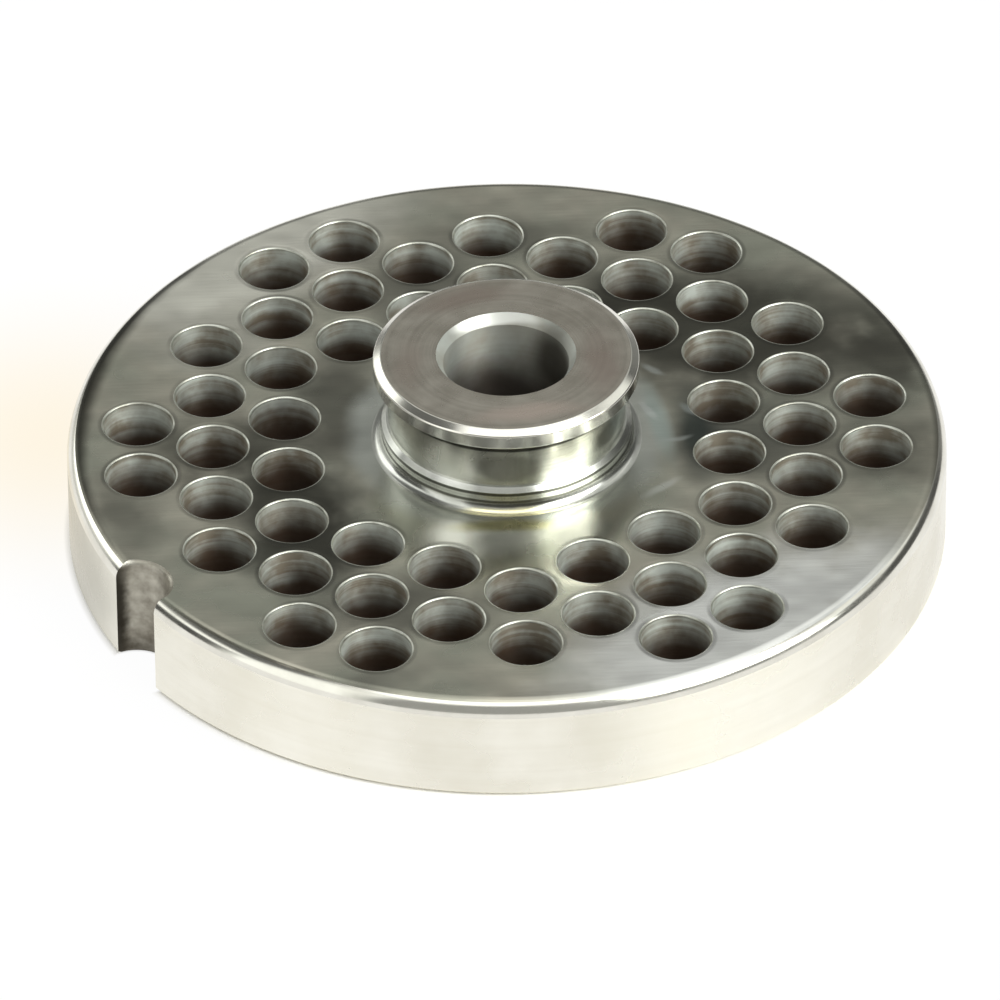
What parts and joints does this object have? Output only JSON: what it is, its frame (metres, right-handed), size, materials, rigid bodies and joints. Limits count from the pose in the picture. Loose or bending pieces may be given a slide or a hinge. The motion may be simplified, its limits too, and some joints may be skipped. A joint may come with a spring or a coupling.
{
  "type": "meat grinder plate",
  "caption": "Thick round stainless steel mincing plate with drilled holes, a necked hub with a central bore, and a half-round keyway in its rim.",
  "frame": {"origin": "centre of the flat cutting face, on the bore's axis", "axes": "+Z along the bore towards the hub, +Y along a row of holes; the keyway lies at 210 degrees from +X"},
  "size_m": [0.1, 0.1, 0.0242],
  "materials": {
    "stainless_steel": "buffed satin, with fine scratches and wiped marks"
  },
  "bodies": {
    "root": {"grinder_plate": "stainless_steel"}
  },
  "joints": []
}
